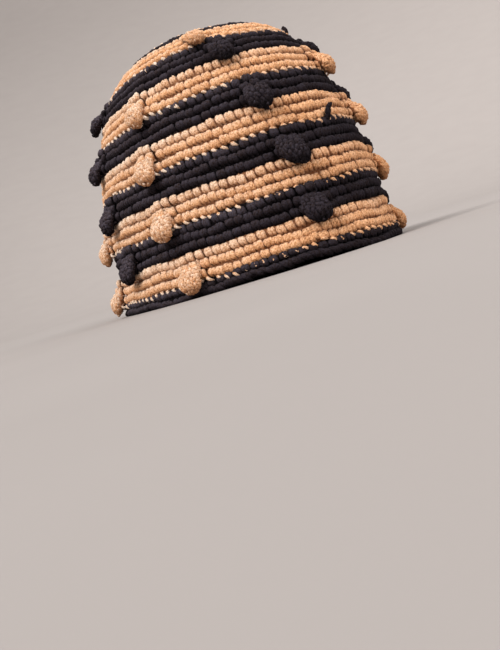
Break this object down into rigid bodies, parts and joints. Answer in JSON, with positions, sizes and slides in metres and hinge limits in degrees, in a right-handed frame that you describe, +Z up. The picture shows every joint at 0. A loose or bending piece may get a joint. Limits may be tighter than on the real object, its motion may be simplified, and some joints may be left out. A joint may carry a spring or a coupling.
{
  "type": "crocheted prestige hat",
  "caption": "Brimless crocheted cap with an oval opening, worked in rounds in two colours of thick yarn, with short drooping knobs that stand out of its sides.",
  "frame": {"origin": "on the surface that the cap stands on, under the middle of the box round the whole cap", "axes": "+Z up through the crown, -Y towards the wearer's front, +X towards the wearer's left"},
  "size_m": [0.1724, 0.221, 0.16],
  "materials": {
    "navy_yarn": "matte, slightly fuzzy cotton yarn",
    "tan_yarn": "matte, slightly fuzzy cotton yarn"
  },
  "bodies": {
    "root": {"navy_rim": "navy_yarn", "tan_stripe_1": "tan_yarn", "navy_stripe_2": "navy_yarn", "tan_stripe_3": "tan_yarn", "navy_stripe_4": "navy_yarn", "tan_stripe_5": "tan_yarn", "navy_stripe_6": "navy_yarn", "tan_stripe_7": "tan_yarn", "navy_stripe_8": "navy_yarn", "tan_stripe_9": "tan_yarn", "navy_stripe_10": "navy_yarn", "tan_stripe_11": "tan_yarn", "navy_crown_12": "navy_yarn"}
  },
  "joints": []
}
